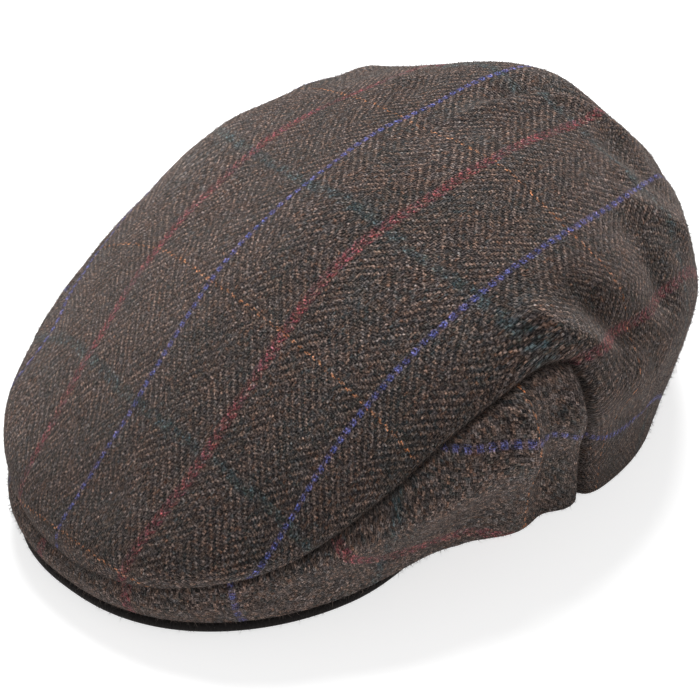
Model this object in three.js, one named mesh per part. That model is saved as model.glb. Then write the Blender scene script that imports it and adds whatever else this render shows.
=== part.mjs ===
import * as THREE from 'three';
import { mergeVertices } from 'three/addons/utils/BufferGeometryUtils.js';

// Flat cap of checked tweed, resting on its hem and its peak.
// Millimetres, +Z up. The peak points to -Y and the wearer's left is +X.
// z = 0 is the surface that the cap rests on.

// Driving dimensions, in millimetres unless a name says otherwise
const frontReach = 165;        // crown axis to the front of the cap
const backReach = 117;         // crown axis to the back of the cap
const sideReach = 104;         // crown axis to the widest point of a side
const crownHeight = 108;       // resting surface to the top of the crown
const outlineShift = 1.5;      // how far the outline's middle lies behind the middle of the reaches
const clothWall = 2.5;         // tweed with its backing
const peakThickness = 3.0;     // cloth-covered board
const peakArch = 1.5;          // how far the middle of the peak stands off the surface
const peakDepth = 60;          // rim to the head opening, at the middle
const peakOverhang = 1.2;      // rim of the peak beyond the cloth above it
const peakTipDepth = 5;        // least depth of the peak, at its two ends
const peakEndAngle = 47;       // degrees from the front to each end of the peak
const hemFallAngle = 10;       // degrees more to where the hem comes down to the surface
const seamGap = 0.35;          // clearance between sewn pieces
const seamCrease = 2.0;        // how deep the cloth is drawn in at a seam
const seamCreaseWidth = 5;     // how far from the seam the cloth is drawn in
const templeAngle = 54;        // degrees from the front to the tuck above each temple
const templeSpread = 16;       // degrees, half width of that tuck

// Rings of the crown, from the hem to the top. The reaches are shares of frontReach, backReach and
// sideReach, the heights shares of crownHeight, and the tuck a share of the ring's own reach.
// A squareness of 2 is an ellipse, and more is squarer.
const rings = [
  { name: 'hem', front: 0.977, back: 0.780, side: 0.882, frontSquare: 2.30, backSquare: 1.90,
    frontHeight: 0.000, sideHeight: 0.000, backHeight: 0.000, tuck: 0.115 },
  { name: 'belly', front: 0.996, back: 0.993, side: 0.900, frontSquare: 2.37, backSquare: 2.00,
    frontHeight: 0.140, sideHeight: 0.232, backHeight: 0.241, tuck: 0.050 },
  { name: 'widest', front: 0.936, back: 0.994, side: 0.990, frontSquare: 2.42, backSquare: 1.80,
    frontHeight: 0.316, sideHeight: 0.504, backHeight: 0.490, tuck: 0.000 },
  { name: 'shoulder', front: 0.694, back: 0.848, side: 0.829, frontSquare: 1.90, backSquare: 2.00,
    frontHeight: 0.629, sideHeight: 0.786, backHeight: 0.760, tuck: 0.000 },
  { name: 'top', front: 0.401, back: 0.609, side: 0.387, frontSquare: 2.00, backSquare: 1.90,
    frontHeight: 0.861, sideHeight: 0.960, backHeight: 0.999, tuck: 0.000 },
];
const apexLevel = rings.length;

// The seam between the top panel and a side panel, from the middle of the front to the corner
// above the ear. A level counts rings from the hem: 1.5 is halfway from the belly to the widest.
const topSeam = [
  { angle: 0, level: 1.12 },
  { angle: 11, level: 1.21 },
  { angle: 20, level: 1.38 },
  { angle: 28, level: 1.64 },
  { angle: 36, level: 2.03 },
  { angle: 44, level: 2.28 },
  { angle: 54, level: 2.49 },
  { angle: 66, level: 2.61 },
  { angle: 76, level: 2.65 },
  { angle: 82.5, level: 2.55 },
];

// The back edge of a side panel, from that corner down to the hem
const backSeam = [
  { angle: 82.5, level: 2.55 },
  { angle: 84.2, level: 2.28 },
  { angle: 85.2, level: 1.92 },
  { angle: 87.2, level: 1.50 },
  { angle: 89.2, level: 1.05 },
  { angle: 90, level: 0.50 },
  { angle: 90, level: 0.00 },
];

// Folds and hollows of the cloth, each along a line from one spot to another. Angles are degrees
// from the front, positive towards the wearer's left. The width is half the fold's, and the rise is
// outwards, or inwards for a hollow. Both are shares of crownHeight.
const folds = [
  { name: 'ear ridge', from: [68, 2.35], to: [69, 0.40], width: 0.065, rise: 0.018 },
  { name: 'ear hollow', from: [76, 2.20], to: [79, 0.10], width: 0.070, rise: -0.034 },
  { name: 'corner ridge', from: [77, 3.08], to: [91, 2.52], width: 0.060, rise: 0.024 },
  { name: 'corner hollow', from: [90, 3.05], to: [98, 2.50], width: 0.080, rise: -0.034 },
  { name: 'side hollow', from: [119, 3.05], to: [112, 2.50], width: 0.090, rise: -0.040 },
  { name: 'nape ridge', from: [137, 3.30], to: [132, 2.55], width: 0.065, rise: 0.014 },
  { name: 'nape hollow', from: [147, 3.45], to: [141, 3.00], width: 0.060, rise: -0.022 },
  { name: 'back ridge', from: [168, 4.45], to: [155, 3.25], width: 0.065, rise: 0.018 },
  { name: 'back hollow', from: [180, 4.35], to: [169, 3.65], width: 0.070, rise: -0.024 },
  { name: 'top dimple', from: [-143, 4.30], to: [-152, 3.85], width: 0.050, rise: -0.012 },
  { name: 'right shoulder hollow', from: [-100, 2.95], to: [-96, 2.40], width: 0.080, rise: -0.028 },
  { name: 'right back ridge', from: [-126, 3.15], to: [-121, 2.50], width: 0.070, rise: 0.020 },
  { name: 'right back hollow', from: [-142, 3.10], to: [-136, 2.40], width: 0.080, rise: -0.026 },
  { name: 'right ear hollow', from: [-77, 2.10], to: [-79, 0.10], width: 0.070, rise: -0.026 },
];

// Mesh steps
const frontSteps = 22;         // along the top seam of each side
const backEdgeSteps = 7;       // up the back seam of each side
const hemSteps = 16;           // along the hem of each back quarter
const peakSteps = 28;
const peakRows = 3;
const crowding = 1.6;          // how much the steps close up towards a seam
const foldSteps = 4;           // along each fold's line
const crownRows = [
  0, 0.02, 0.05, 0.09, 0.14, 0.19, 0.25, 0.31, 0.37, 0.43, 0.49, 0.55, 0.61, 0.67, 0.73, 0.79,
  0.86, 0.93, 1,
];

const radians = THREE.MathUtils.degToRad;
const axisY = (frontReach - backReach) / 2 - outlineShift;

function bell(distance, spread) {
  return Math.exp(-((distance / spread) ** 2));
}

// Distance between two angles in degrees, the short way round
function turn(a, b) {
  const d = Math.abs(a - b) % 360;
  return d > 180 ? 360 - d : d;
}

function catmullRom(p0, p1, p2, p3, u) {
  return 0.5 * (2 * p1 + (p2 - p0) * u + (2 * p0 - 5 * p1 + 4 * p2 - p3) * u * u
    + (3 * p1 - p0 - 3 * p2 + p3) * u * u * u);
}

// Height of the hem over the surface, where the peak lies under it
function hemLift(angle) {
  const u = Math.min(turn(angle, 0) / (peakEndAngle + hemFallAngle), 1);
  return (peakArch + peakThickness + seamGap) * (1 - u ** 4);
}

// One ring's reach from the crown axis and its height, at an angle from the front. Its back half
// turns smoothly into its front half.
function ringAt(ring, angle) {
  const s = Math.sin(radians(angle));
  const c = Math.cos(radians(angle));
  const towardsFront = THREE.MathUtils.smoothstep(c, -1, 1);
  const lengthways = THREE.MathUtils.lerp(ring.back * backReach, ring.front * frontReach, towardsFront);
  const square = THREE.MathUtils.lerp(ring.backSquare, ring.frontSquare, towardsFront);
  const across = Math.abs(s / (ring.side * sideReach)) ** square;
  const along = Math.abs(c / lengthways) ** square;
  const tuck = 1 - ring.tuck * bell(turn(Math.abs(angle), templeAngle), templeSpread);
  const slope = (ring.frontHeight - ring.backHeight) / 2;
  const bow = (ring.frontHeight + ring.backHeight) / 2 - ring.sideHeight;
  const height = crownHeight * (ring.sideHeight + slope * c + bow * c * c);
  return {
    reach: tuck * (across + along) ** (-1 / square),
    height: ring.name === 'hem' ? hemLift(angle) : height,
  };
}

// The cloth's smooth outer face, before seams and folds: a curve over the rings to the apex
function smoothPoint(angle, level) {
  const points = rings.map((ring) => ringAt(ring, angle));
  points.push({ reach: 0, height: crownHeight });
  const last = points[points.length - 2];
  points.push({ reach: -last.reach, height: last.height });
  points.unshift({
    reach: 2 * points[0].reach - points[1].reach,
    height: 2 * points[0].height - points[1].height,
  });
  const i = Math.min(Math.floor(level), apexLevel - 1);
  const [p0, p1, p2, p3] = points.slice(i, i + 4);
  const u = level - i;
  const reach = catmullRom(p0.reach, p1.reach, p2.reach, p3.reach, u);
  const height = catmullRom(p0.height, p1.height, p2.height, p3.height, u);
  return new THREE.Vector3(
    reach * Math.sin(radians(angle)),
    axisY - reach * Math.cos(radians(angle)),
    height,
  );
}

// The smooth face's directions, for one degree and for one level, and its outward normal
function tangents(angle, level) {
  const step = 0.02;
  const middle = Math.min(level, apexLevel - 2 * step);
  const below = Math.max(middle - step, 0);
  const round = smoothPoint(angle + step, middle).sub(smoothPoint(angle - step, middle));
  const up = smoothPoint(angle, middle + step).sub(smoothPoint(angle, below));
  const normal = level < apexLevel
    ? round.clone().cross(up).normalize()
    : new THREE.Vector3(0, 0, 1);
  return { round: round.divideScalar(2 * step), up: up.divideScalar(middle + step - below), normal };
}

// The spot that lies a small move away over the smooth face
function besideSpot({ angle, level }, move) {
  const { round, up } = tangents(angle, level);
  const rr = round.dot(round);
  const ru = round.dot(up);
  const uu = up.dot(up);
  const mr = move.dot(round);
  const mu = move.dot(up);
  const area = rr * uu - ru * ru;
  return {
    angle: angle + (mr * uu - mu * ru) / area,
    level: level + (mu * rr - mr * ru) / area,
  };
}

function curveOf(table) {
  return new THREE.SplineCurve(table.map(({ angle, level }) => new THREE.Vector2(angle, level)));
}

// The left panel's seam as spots of the smooth face: from the front to the corner, then to the hem
function seamSpots() {
  const top = curveOf(topSeam);
  const back = curveOf(backSeam);
  const spots = [];
  for (let i = 0; i <= frontSteps; i += 1) {
    spots.push(top.getPoint(1 - (1 - i / frontSteps) ** crowding));
  }
  for (let i = 1; i <= backEdgeSteps; i += 1) {
    spots.push(back.getPoint((i / backEdgeSteps) ** crowding));
  }
  return spots.map(({ x, y }) => ({ angle: x, level: y }));
}

const seam = seamSpots();
const seamEdges = seam.slice(1).map((spot, i) => new THREE.Line3(
  smoothPoint(seam[i].angle, seam[i].level),
  smoothPoint(spot.angle, spot.level),
));

// The seam's line moved over the cloth, towards the crown when the distance is positive.
// Its first spot stays at the middle of the front and its last one on the hem.
function besideSeam(distance) {
  return seam.map((spot, i) => {
    const { normal } = tangents(spot.angle, spot.level);
    const arrive = seamEdges[Math.max(i - 1, 0)].delta(new THREE.Vector3());
    const leave = seamEdges[Math.min(i, seamEdges.length - 1)].delta(new THREE.Vector3());
    const across = normal.clone().cross(arrive).normalize();
    const mitre = normal.clone().cross(leave).normalize().add(across).normalize();
    const moved = besideSpot(spot, mitre.multiplyScalar(distance / mitre.dot(across)));
    if (i === 0) {
      moved.angle = 0;
    }
    if (i === seam.length - 1) {
      moved.level = 0;
    }
    return moved;
  });
}

// The nearest distance from a point to a line of edges
function lineDistance(edges, point) {
  const nearest = new THREE.Vector3();
  return Math.min(...edges.map((edge) => (
    edge.closestPointToPoint(point, true, nearest).distanceTo(point)
  )));
}

// A fold's line over the smooth face
function foldEdges({ from, to }) {
  const points = [];
  for (let i = 0; i <= foldSteps; i += 1) {
    const angle = THREE.MathUtils.lerp(from[0], to[0], i / foldSteps);
    const level = THREE.MathUtils.lerp(from[1], to[1], i / foldSteps);
    points.push(smoothPoint(angle, level));
  }
  return points.slice(1).map((point, i) => new THREE.Line3(points[i], point));
}

const foldLines = folds.map((fold) => ({ ...fold, edges: foldEdges(fold) }));

// The cloth's outer and inner point at one spot, with the seam drawn in and the folds
function clothPoints({ angle, level }) {
  const outer = smoothPoint(angle, level);
  const { normal } = tangents(angle, level);
  const mirrored = new THREE.Vector3(Math.abs(outer.x), outer.y, outer.z);
  let rise = -seamCrease * bell(lineDistance(seamEdges, mirrored), seamCreaseWidth);
  for (const fold of foldLines) {
    const near = bell(lineDistance(fold.edges, outer), fold.width * crownHeight);
    rise += fold.rise * crownHeight * near;
  }
  outer.addScaledVector(normal, rise);
  const inner = outer.clone().addScaledVector(normal, -clothWall);
  if (level === 0) {
    // The hem's edge is level, so the slanted wall is cut there
    const flat = new THREE.Vector3(normal.x, normal.y, 0);
    inner.copy(outer).addScaledVector(flat, -clothWall / flat.lengthSq());
    outer.z = hemLift(angle);
    inner.z = outer.z;
  }
  return { outer, inner };
}

// A closed shell between an outer and an inner grid of points. Seen from outside, columns run to
// the right and rows upwards. A wrapped grid's last column meets its first.
function shellGeometry(outer, inner, wrapped) {
  const corners = [];
  const addTriangle = (a, b, c) => {
    const tiny = 1e-6;
    if (a.distanceTo(b) > tiny && b.distanceTo(c) > tiny && c.distanceTo(a) > tiny) {
      corners.push(a, b, c);
    }
  };
  // A quad is cut along its shorter diagonal
  const addQuad = (a, b, c, d) => {
    if (a.distanceTo(c) < b.distanceTo(d)) {
      addTriangle(a, b, c);
      addTriangle(a, c, d);
    } else {
      addTriangle(a, b, d);
      addTriangle(b, c, d);
    }
  };
  const columns = outer.length;
  const lastRow = outer[0].length - 1;
  const spans = wrapped ? columns : columns - 1;
  for (let i = 0; i < spans; i += 1) {
    const next = (i + 1) % columns;
    for (let j = 0; j < lastRow; j += 1) {
      addQuad(outer[i][j], outer[next][j], outer[next][j + 1], outer[i][j + 1]);
      addQuad(inner[i][j], inner[i][j + 1], inner[next][j + 1], inner[next][j]);
    }
    addQuad(outer[i][0], inner[i][0], inner[next][0], outer[next][0]);
    if (!wrapped) {
      addQuad(outer[i][lastRow], outer[next][lastRow], inner[next][lastRow], inner[i][lastRow]);
    }
  }
  if (!wrapped) {
    const last = columns - 1;
    for (let j = 0; j < lastRow; j += 1) {
      addQuad(outer[0][j], outer[0][j + 1], inner[0][j + 1], inner[0][j]);
      addQuad(outer[last][j], inner[last][j], inner[last][j + 1], outer[last][j + 1]);
    }
  }
  const geometry = new THREE.BufferGeometry().setFromPoints(corners);
  const closed = mergeVertices(geometry, 1e-4);
  closed.computeVertexNormals();
  return closed;
}

function clothGeometry(spots, wrapped) {
  const points = spots.map((column) => column.map(clothPoints));
  return shellGeometry(
    points.map((column) => column.map(({ outer }) => outer)),
    points.map((column) => column.map(({ inner }) => inner)),
    wrapped,
  );
}

function mirrorSpots(columns) {
  return columns.map((column) => column.map(({ angle, level }) => ({ angle: -angle, level }))).reverse();
}

// The top panel: its edge follows both seams and the hem of the back, and its rows close on the apex
function crownSpots() {
  const edge = besideSeam(seamGap / 2);
  const hemStart = edge[edge.length - 1].angle;
  for (let i = 1; i <= hemSteps; i += 1) {
    edge.push({ angle: hemStart + (180 - hemStart) * i / hemSteps, level: 0 });
  }
  const along = [0];
  for (let i = 1; i < edge.length; i += 1) {
    const from = smoothPoint(edge[i - 1].angle, edge[i - 1].level);
    along.push(along[i - 1] + from.distanceTo(smoothPoint(edge[i].angle, edge[i].level)));
  }
  const half = edge.map(({ angle, level }, i) => {
    const apexAngle = 180 * along[i] / along[along.length - 1];
    return crownRows.map((share) => ({
      angle: angle + (apexAngle - angle) * share,
      level: level + (apexLevel - level) * share,
    }));
  });
  return [...half, ...mirrorSpots(half).slice(1, -1)];
}

// The left side panel, spread between its hem, its front edge, its back edge and its top seam
function panelSpots() {
  const edge = besideSeam(-seamGap / 2);
  const frontAngle = (level) => {
    const reach = axisY - smoothPoint(0, level).y;
    return THREE.MathUtils.radToDeg(seamGap / 2 / reach);
  };
  const corner = edge[frontSteps];
  const hemEnd = edge[edge.length - 1];
  edge[0].angle = frontAngle(edge[0].level);
  const columns = [];
  for (let i = 0; i <= frontSteps; i += 1) {
    const u = 1 - (1 - i / frontSteps) ** crowding;
    const top = edge[i];
    const low = { angle: frontAngle(0) * (1 - u) + top.angle * hemEnd.angle / corner.angle * u, level: 0 };
    const column = [];
    for (let j = 0; j <= backEdgeSteps; j += 1) {
      const v = 1 - (1 - j / backEdgeSteps) ** crowding;
      const back = edge[edge.length - 1 - j];
      const frontLevel = edge[0].level * v;
      const front = { angle: frontAngle(frontLevel), level: frontLevel };
      const spread = (key) => low[key] * (1 - v) + top[key] * v + front[key] * (1 - u) + back[key] * u
        - (edge[0][key] * (1 - u) + corner[key] * u) * v
        - ((key === 'angle' ? frontAngle(0) : 0) * (1 - u) + hemEnd[key] * u) * (1 - v);
      column.push({ angle: spread('angle'), level: j === 0 ? 0 : spread('level') });
    }
    columns.push(column);
  }
  return columns;
}

// The peak: a crescent board under the front, from its rim back to the head opening
function peakGeometry() {
  const openingFront = ringAt(rings[0], 0).reach + peakOverhang - peakDepth;
  const openingSide = ringAt(rings[0], 90).reach - clothWall;
  const top = [];
  const bottom = [];
  for (let i = 0; i <= peakSteps; i += 1) {
    const turned = 2 * i / peakSteps - 1;
    const angle = peakEndAngle * turned;
    const fade = 1 - turned ** 2;
    const rim = ringAt(rings[0], angle).reach + peakOverhang * Math.sqrt(fade);
    const s = Math.sin(radians(angle)) / openingSide;
    const c = Math.cos(radians(angle)) / openingFront;
    const depth = Math.max(rim - 1 / Math.hypot(s, c), peakTipDepth);
    const topColumn = [];
    const bottomColumn = [];
    for (let j = 0; j <= peakRows; j += 1) {
      const reach = rim - depth * j / peakRows;
      const x = reach * Math.sin(radians(angle));
      const y = axisY - reach * Math.cos(radians(angle));
      topColumn.push(new THREE.Vector3(x, y, hemLift(angle) - seamGap));
      bottomColumn.push(new THREE.Vector3(x, y, peakArch * fade));
    }
    top.push(topColumn);
    bottom.push(bottomColumn);
  }
  return shellGeometry(top, bottom, false);
}

// One named piece in its own cloth
function piece(name, geometry, color) {
  const material = new THREE.MeshStandardMaterial({ color, roughness: 0.95, metalness: 0 });
  const mesh = new THREE.Mesh(geometry, material);
  mesh.name = name;
  return mesh;
}

const tweed = 0x4a4140;
const shadedTweed = 0x423a39;
const darkTweed = 0x1d1a1b;
const leftPanel = panelSpots();

const cap = new THREE.Group();
cap.add(piece('crown_top', clothGeometry(crownSpots(), true), tweed));
cap.add(piece('side_panel_left', clothGeometry(leftPanel, false), shadedTweed));
cap.add(piece('side_panel_right', clothGeometry(mirrorSpots(leftPanel), false), shadedTweed));
cap.add(piece('peak', peakGeometry(), darkTweed));

export default cap;
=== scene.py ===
"""Looks of a flat cap of checked herringbone tweed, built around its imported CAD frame.

The cap's form follows the rings, seams and folds of the CAD source on a finer mesh, in millimetres,
and is scaled to metres where a mesh is made. Every cloth piece carries a UV map of thread counts,
across and along the cloth, so that the weave and the check follow the cloth over its curves.
"""

import math

import bpy
import numpy as np
from mathutils import Matrix, Vector


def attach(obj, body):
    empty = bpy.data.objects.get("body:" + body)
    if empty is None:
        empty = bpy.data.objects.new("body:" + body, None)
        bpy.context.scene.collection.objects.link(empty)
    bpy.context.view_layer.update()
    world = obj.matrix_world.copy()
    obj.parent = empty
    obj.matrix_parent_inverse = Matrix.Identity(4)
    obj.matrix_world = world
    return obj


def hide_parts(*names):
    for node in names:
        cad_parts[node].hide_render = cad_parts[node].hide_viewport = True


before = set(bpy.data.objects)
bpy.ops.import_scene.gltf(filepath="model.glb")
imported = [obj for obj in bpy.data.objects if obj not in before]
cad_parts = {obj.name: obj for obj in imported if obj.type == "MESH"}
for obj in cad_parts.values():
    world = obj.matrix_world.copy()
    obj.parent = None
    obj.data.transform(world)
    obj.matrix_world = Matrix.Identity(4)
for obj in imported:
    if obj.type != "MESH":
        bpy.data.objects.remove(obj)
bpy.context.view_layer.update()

METRES = 0.001  # one millimetre

# ---------------------------------------------------------------------------------------------
# The cap's sizes, as in the CAD source, in millimetres unless a name says otherwise
# ---------------------------------------------------------------------------------------------
FRONT_REACH = 165.0
BACK_REACH = 117.0
SIDE_REACH = 104.0
CROWN_HEIGHT = 108.0
OUTLINE_SHIFT = 1.5
AXIS_Y = (FRONT_REACH - BACK_REACH) / 2 - OUTLINE_SHIFT
CLOTH_WALL = 2.5
PEAK_THICKNESS = 3.0
PEAK_ARCH = 1.5
PEAK_DEPTH = 60.0
PEAK_OVERHANG = 1.2
PEAK_TIP_DEPTH = 5.0
PEAK_END_ANGLE = 47.0
HEM_FALL_ANGLE = 10.0
SEAM_GAP = 0.35
SEAM_CREASE = 2.0
SEAM_CREASE_WIDTH = 5.0
TEMPLE_ANGLE = 54.0
TEMPLE_SPREAD = 16.0

# Rings from the hem to the top: reaches as shares of the front, back and side reach, squareness of
# the front and back half, heights as shares of the crown's height, and the tuck at the temples
RING_COLUMNS = ("front", "back", "side", "front_square", "back_square",
                "front_height", "side_height", "back_height", "tuck")
RINGS = [dict(zip(RING_COLUMNS, row)) for row in (
    (0.977, 0.780, 0.882, 2.30, 1.90, 0.000, 0.000, 0.000, 0.115),
    (0.996, 0.993, 0.900, 2.37, 2.00, 0.140, 0.232, 0.241, 0.050),
    (0.936, 0.994, 0.990, 2.42, 1.80, 0.316, 0.504, 0.490, 0.000),
    (0.694, 0.848, 0.829, 1.90, 2.00, 0.629, 0.786, 0.760, 0.000),
    (0.401, 0.609, 0.387, 2.00, 1.90, 0.861, 0.960, 0.999, 0.000),
)]
APEX_LEVEL = len(RINGS)

# Seams of a side panel, as (angle from the front, level in rings)
TOP_SEAM = ((0, 1.12), (11, 1.21), (20, 1.38), (28, 1.64), (36, 2.03), (44, 2.28), (54, 2.49),
            (66, 2.61), (76, 2.65), (82.5, 2.55))
BACK_SEAM = ((82.5, 2.55), (84.2, 2.28), (85.2, 1.92), (87.2, 1.50), (89.2, 1.05), (90, 0.50),
             (90, 0.00))

# Folds and hollows: from (angle, level) to (angle, level), half width and rise as shares of the
# crown's height. The first group is the CAD source's, the second the finer ones of the cloth.
FOLDS = (
    ((68, 2.35), (69, 0.40), 0.065, 0.018),
    ((76, 2.20), (79, 0.10), 0.070, -0.034),
    ((77, 3.08), (91, 2.52), 0.060, 0.024),
    ((90, 3.05), (98, 2.50), 0.080, -0.034),
    ((119, 3.05), (112, 2.50), 0.090, -0.040),
    ((137, 3.30), (132, 2.55), 0.065, 0.014),
    ((147, 3.45), (141, 3.00), 0.060, -0.022),
    ((168, 4.45), (155, 3.25), 0.065, 0.018),
    ((180, 4.35), (169, 3.65), 0.070, -0.024),
    ((-143, 4.30), (-152, 3.85), 0.050, -0.012),
    ((-100, 2.95), (-96, 2.40), 0.080, -0.028),
    ((-126, 3.15), (-121, 2.50), 0.070, 0.020),
    ((-142, 3.10), (-136, 2.40), 0.080, -0.026),
    ((-77, 2.10), (-79, 0.10), 0.070, -0.026),
)
WRINKLES = (
    ((176, 4.65), (154.6, 3.40), 0.036, 0.014),
    ((175, 4.30), (167, 3.45), 0.055, -0.018),
    ((128.6, 3.24), (131.4, 2.67), 0.040, 0.014),
    ((134, 3.36), (136, 3.15), 0.040, -0.014),
    ((152, 2.90), (156, 2.70), 0.045, -0.010),
    ((116.7, 2.76), (114, 2.37), 0.045, -0.012),
    ((94.6, 2.47), (93.2, 2.91), 0.045, -0.014),
    ((78.3, 3.06), (88, 2.56), 0.034, 0.014),
    ((101.7, 2.38), (105, 1.90), 0.050, -0.014),
    ((97, 1.95), (108, 1.10), 0.050, 0.014),
    ((-134.7, 4.04), (-155, 4.16), 0.032, 0.012),
    ((-150.5, 3.79), (-147, 3.60), 0.030, -0.014),
    ((68.7, 2.40), (73.6, 0.63), 0.034, 0.013),
    ((56, 0.90), (60, 0.25), 0.040, -0.010),
    ((40, 0.95), (47, 0.40), 0.035, 0.007),
)

# Mesh steps of the dressed pieces
SEAM_STEPS = 160      # along the top seam of each side
BACK_SEAM_STEPS = 60  # up the back seam of each side
HEM_STEPS = 150       # along the hem of each back quarter
INNER_ROWS = 18
INNER_ROW_GROWTH = 1.3
CROWN_DEPTH = 150     # about how far it is from the top panel's edge to the apex
PANEL_DEPTH = 56      # about how high a side panel is
EDGE_STEP = 0.25      # first step in from an edge
STEP_GROWTH = 1.14
CLOTH_STEP = 2.1      # step over the open cloth
EDGE_ROLL = CLOTH_WALL / 2

# The cloth's threads. A thread count of 0 is on a red line across and on an orange line along.
COLUMN_THREADS = 16     # lengthwise threads to each herringbone column
LINES_ACROSS = 48       # threads between two lengthwise lines of the check
LINES_ALONG = 50        # threads between two crosswise lines
THREAD_ACROSS = 39.5 / LINES_ACROSS
THREAD_ALONG = 49.8 / LINES_ALONG
RED_LINE_ACROSS = 28.5  # where the middle red line of the top lies, left of the middle
ORANGE_LINE_ALONG = -186.0

rng = np.random.default_rng(20)


# ---------------------------------------------------------------------------------------------
# The cap's form
# ---------------------------------------------------------------------------------------------
def bell(distance, spread):
    return np.exp(-((distance / spread) ** 2))


def turn(a, b):
    """Distance between two angles in degrees, the short way round."""
    d = np.abs(a - b) % 360
    return np.where(d > 180, 360 - d, d)


def hem_lift(angle):
    u = np.minimum(turn(angle, 0) / (PEAK_END_ANGLE + HEM_FALL_ANGLE), 1)
    return (PEAK_ARCH + PEAK_THICKNESS + SEAM_GAP) * (1 - u ** 4)


def ring_at(number, angle):
    """One ring's reach from the crown axis and its height, at an angle from the front."""
    ring = RINGS[number]
    s, c = np.sin(np.radians(angle)), np.cos(np.radians(angle))
    share = np.clip((c + 1) / 2, 0, 1)
    to_front = share * share * (3 - 2 * share)
    back, front = ring["back"] * BACK_REACH, ring["front"] * FRONT_REACH
    lengthways = back + (front - back) * to_front
    square = ring["back_square"] + (ring["front_square"] - ring["back_square"]) * to_front
    across = np.abs(s / (ring["side"] * SIDE_REACH)) ** square
    tuck = 1 - ring["tuck"] * bell(turn(np.abs(angle), TEMPLE_ANGLE), TEMPLE_SPREAD)
    reach = tuck * (across + np.abs(c / lengthways) ** square) ** (-1 / square)
    slope = (ring["front_height"] - ring["back_height"]) / 2
    bow = (ring["front_height"] + ring["back_height"]) / 2 - ring["side_height"]
    height = CROWN_HEIGHT * (ring["side_height"] + slope * c + bow * c * c)
    return reach, hem_lift(angle) if number == 0 else height


def smooth_point(angle, level):
    """The cloth's smooth outer face: a Catmull-Rom curve over the rings to the apex."""
    angle, level = np.broadcast_arrays(np.asarray(angle, float), np.asarray(level, float))
    reaches, heights = zip(*(ring_at(n, angle) for n in range(APEX_LEVEL)))
    reaches = [2 * reaches[0] - reaches[1], *reaches, 0 * angle, -reaches[-1]]
    heights = [2 * heights[0] - heights[1], *heights, 0 * angle + CROWN_HEIGHT, heights[-1]]
    start = np.clip(np.floor(level).astype(int), 0, APEX_LEVEL - 1)
    u = level - start

    def over(values):
        values = np.stack(values)
        p0, p1, p2, p3 = (np.take_along_axis(values, (start + k)[None], 0)[0] for k in range(4))
        return 0.5 * (2 * p1 + (p2 - p0) * u + (2 * p0 - 5 * p1 + 4 * p2 - p3) * u ** 2
                      + (3 * p1 - p0 - 3 * p2 + p3) * u ** 3)

    reach, height = over(reaches), over(heights)
    x, y = reach * np.sin(np.radians(angle)), AXIS_Y - reach * np.cos(np.radians(angle))
    return np.stack([x, y, height], -1)


def directions(angle, level):
    """The smooth face's change for one degree and for one level, and its outward normal."""
    step = 0.02
    middle = np.minimum(level, APEX_LEVEL - 2 * step)
    below = np.maximum(middle - step, 0)
    around = smooth_point(angle + step, middle) - smooth_point(angle - step, middle)
    up = smooth_point(angle, middle + step) - smooth_point(angle, below)
    normal = np.cross(around, up)
    normal /= np.linalg.norm(normal, axis=-1, keepdims=True)
    normal[np.asarray(level) >= APEX_LEVEL - 1e-9] = (0, 0, 1)
    return around / (2 * step), up / (middle + step - below)[..., None], normal


def spline(table, share):
    """A Catmull-Rom line through a table's points, its end points repeated."""
    points = np.array(table, float)
    place = np.clip(share, 0, 1) * (len(points) - 1)
    i = np.minimum(np.floor(place).astype(int), len(points) - 1)
    u = (place - i)[:, None]
    last = len(points) - 1
    p0, p1 = points[np.maximum(i - 1, 0)], points[i]
    p2, p3 = points[np.minimum(i + 1, last)], points[np.minimum(i + 2, last)]
    v0, v1 = (p2 - p0) / 2, (p3 - p1) / 2
    return ((2 * p1 - 2 * p2 + v0 + v1) * u ** 3 + (-3 * p1 + 3 * p2 - 2 * v0 - v1) * u ** 2
            + v0 * u + p1)


def near_line(points, line):
    """The nearest distance from each point to a line of straight edges."""
    nearest = np.full(points.shape[:-1], np.inf)
    for a, b in zip(line[:-1], line[1:]):
        edge = b - a
        share = np.clip(((points - a) @ edge) / (edge @ edge), 0, 1)
        gap = points - a - share[..., None] * edge
        nearest = np.minimum(nearest, np.einsum("...k,...k", gap, gap))
    return np.sqrt(nearest)


# The left panel's seam as (angle, level), from the front to the corner, then down to the hem
seam_top = spline(TOP_SEAM, np.linspace(0, 1, SEAM_STEPS + 1))
seam_back = spline(BACK_SEAM, np.linspace(0, 1, BACK_SEAM_STEPS + 1))
seam = np.concatenate([seam_top, seam_back[1:]])
seam_line = smooth_point(seam[::2, 0], seam[::2, 1])
fold_lines = [
    (smooth_point(np.linspace(a[0], b[0], 7), np.linspace(a[1], b[1], 7)), width, rise)
    for a, b, width, rise in FOLDS + WRINKLES
]

# A gentle unevenness of the cloth: waves of seeded directions over the cap
WAVE_COUNT = 26
wave_lengths = rng.uniform(13, 34, WAVE_COUNT)
wave_ways = rng.normal(size=(WAVE_COUNT, 3))
wave_ways /= np.linalg.norm(wave_ways, axis=1, keepdims=True)
wave_starts = rng.uniform(0, 2 * math.pi, WAVE_COUNT)


def unevenness(points):
    total = 0
    for length, way, start in zip(wave_lengths, wave_ways, wave_starts):
        total = total + np.sin(points @ way * (2 * math.pi / length) + start) * length / 34
    return total / math.sqrt(WAVE_COUNT)


UNEVENNESS = 0.28
EVEN_HEM_HEIGHT = 8  # it fades in over this height from the hem
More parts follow.
